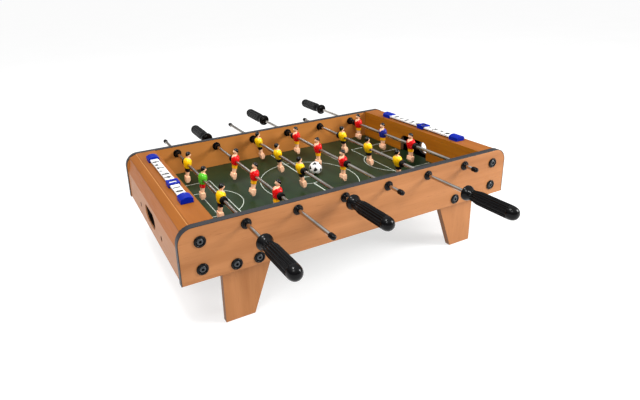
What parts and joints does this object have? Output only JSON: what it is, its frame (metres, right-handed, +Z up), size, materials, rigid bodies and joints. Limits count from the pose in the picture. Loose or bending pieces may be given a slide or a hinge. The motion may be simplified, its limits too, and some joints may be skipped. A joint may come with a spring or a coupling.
{
  "type": "tabletop foosball table",
  "caption": "Tabletop foosball table with sliding and spinning rods of players, wood-effect cabinet on slanted legs, goals with ball exits, and sliding score counters.",
  "frame": {"origin": "on the surface the legs stand on, under the middle of the footprint measured over the handles", "axes": "+X along the table towards the right goal, +Y along the rods away from the side with the yellow team's handles, +Z up"},
  "size_m": [0.69, 0.8404, 0.2076],
  "materials": {
    "laminate": "orange-brown wood grain laminate on board",
    "trim": "dark grey plastic edge band",
    "pitch": "dark green printed board",
    "steel": "bright plated steel rod",
    "black_plastic": "semi-gloss black moulding",
    "white_plastic": "white moulding with blue end blocks and black numerals",
    "blue_plastic": "blue moulding",
    "ball": "white ball with black patches",
    "yellow_team": "painted player, yellow shirt and black shorts",
    "red_team": "painted player, red shirt and amber shorts",
    "green_keeper": "painted keeper, green shirt and red shorts",
    "navy_keeper": "painted keeper, navy shirt and amber shorts"
  },
  "bodies": {
    "table": {"side_panel_near": "laminate", "edge_trim_near": "trim", "leg_near_left": "laminate", "leg_near_right": "laminate", "side_panel_far": "laminate", "edge_trim_far": "trim", "leg_far_left": "laminate", "leg_far_right": "laminate", "pitch_board": "pitch", "end_cover_left": "laminate", "end_cover_right": "laminate", "goal_wall_left": "laminate", "goal_wall_right": "laminate", "bushing_near_1": "black_plastic", "bushing_far_1": "black_plastic", "bushing_near_2": "black_plastic", "bushing_far_2": "black_plastic", "bushing_near_3": "black_plastic", "bushing_far_3": "black_plastic", "bushing_near_4": "black_plastic", "bushing_far_4": "black_plastic", "bushing_near_5": "black_plastic", "bushing_far_5": "black_plastic", "bushing_near_6": "black_plastic", "bushing_far_6": "black_plastic", "score_rail_left": "white_plastic", "score_rail_right": "white_plastic"},
    "rod_1": {"rod_1": "steel"},
    "spin_1": {"handle_1": "black_plastic", "man_1_near": "yellow_team", "man_1_mid": "green_keeper", "man_1_far": "yellow_team"},
    "rod_2": {"rod_2": "steel"},
    "spin_2": {"handle_2": "black_plastic", "man_2_near": "red_team", "man_2_mid": "red_team", "man_2_far": "red_team"},
    "rod_3": {"rod_3": "steel"},
    "spin_3": {"handle_3": "black_plastic", "man_3_near": "yellow_team", "man_3_mid": "yellow_team", "man_3_far": "yellow_team"},
    "rod_4": {"rod_4": "steel"},
    "spin_4": {"handle_4": "black_plastic", "man_4_near": "red_team", "man_4_mid": "red_team", "man_4_far": "red_team"},
    "rod_5": {"rod_5": "steel"},
    "spin_5": {"handle_5": "black_plastic", "man_5_near": "yellow_team", "man_5_mid": "yellow_team", "man_5_far": "yellow_team"},
    "rod_6": {"rod_6": "steel"},
    "spin_6": {"handle_6": "black_plastic", "man_6_near": "red_team", "man_6_mid": "navy_keeper", "man_6_far": "red_team"},
    "slider_left": {"score_slider_left": "blue_plastic"},
    "slider_right": {"score_slider_right": "blue_plastic"},
    "ball": {"ball": "ball"}
  },
  "joints": [
    {"name": "rod_1_slide", "type": "slide", "parent": "table", "child": "rod_1", "axis": [0, 1, 0], "range_m": [-0.0723, 0.0493]},
    {"name": "rod_1_spin", "type": "hinge", "parent": "rod_1", "child": "spin_1", "pos_m": [-0.2325, -0.0075, 0.1795], "axis": [0, 1, 0], "continuous": true},
    {"name": "rod_2_slide", "type": "slide", "parent": "table", "child": "rod_2", "axis": [0, 1, 0], "range_m": [-0.0348, 0.0868]},
    {"name": "rod_2_spin", "type": "hinge", "parent": "rod_2", "child": "spin_2", "pos_m": [-0.1395, -0.045, 0.1795], "axis": [0, 1, 0], "continuous": true},
    {"name": "rod_3_slide", "type": "slide", "parent": "table", "child": "rod_3", "axis": [0, 1, 0], "range_m": [-0.1176, 0.004]},
    {"name": "rod_3_spin", "type": "hinge", "parent": "rod_3", "child": "spin_3", "pos_m": [-0.0465, 0.0378, 0.1795], "axis": [0, 1, 0], "continuous": true},
    {"name": "rod_4_slide", "type": "slide", "parent": "table", "child": "rod_4", "axis": [0, 1, 0], "range_m": [-0.1048, 0.0168]},
    {"name": "rod_4_spin", "type": "hinge", "parent": "rod_4", "child": "spin_4", "pos_m": [0.0465, 0.025, 0.1795], "axis": [0, 1, 0], "continuous": true},
    {"name": "rod_5_slide", "type": "slide", "parent": "table", "child": "rod_5", "axis": [0, 1, 0], "range_m": [-0.0458, 0.0758]},
    {"name": "rod_5_spin", "type": "hinge", "parent": "rod_5", "child": "spin_5", "pos_m": [0.1395, -0.034, 0.1795], "axis": [0, 1, 0], "continuous": true},
    {"name": "rod_6_slide", "type": "slide", "parent": "table", "child": "rod_6", "axis": [0, 1, 0], "range_m": [-0.1138, 0.0078]},
    {"name": "rod_6_spin", "type": "hinge", "parent": "rod_6", "child": "spin_6", "pos_m": [0.2325, 0.034, 0.1795], "axis": [0, 1, 0], "continuous": true},
    {"name": "score_slider_left_slide", "type": "slide", "parent": "table", "child": "slider_left", "axis": [0, 1, 0], "range_m": [-0.052, 0.132]},
    {"name": "score_slider_right_slide", "type": "slide", "parent": "table", "child": "slider_right", "axis": [0, 1, 0], "range_m": [-0.079, 0.1]},
    {"name": "ball_roll", "type": "slide", "parent": "table", "child": "ball", "axis": [0, 1, 0], "range_m": [-0.197, 0.155]}
  ]
}
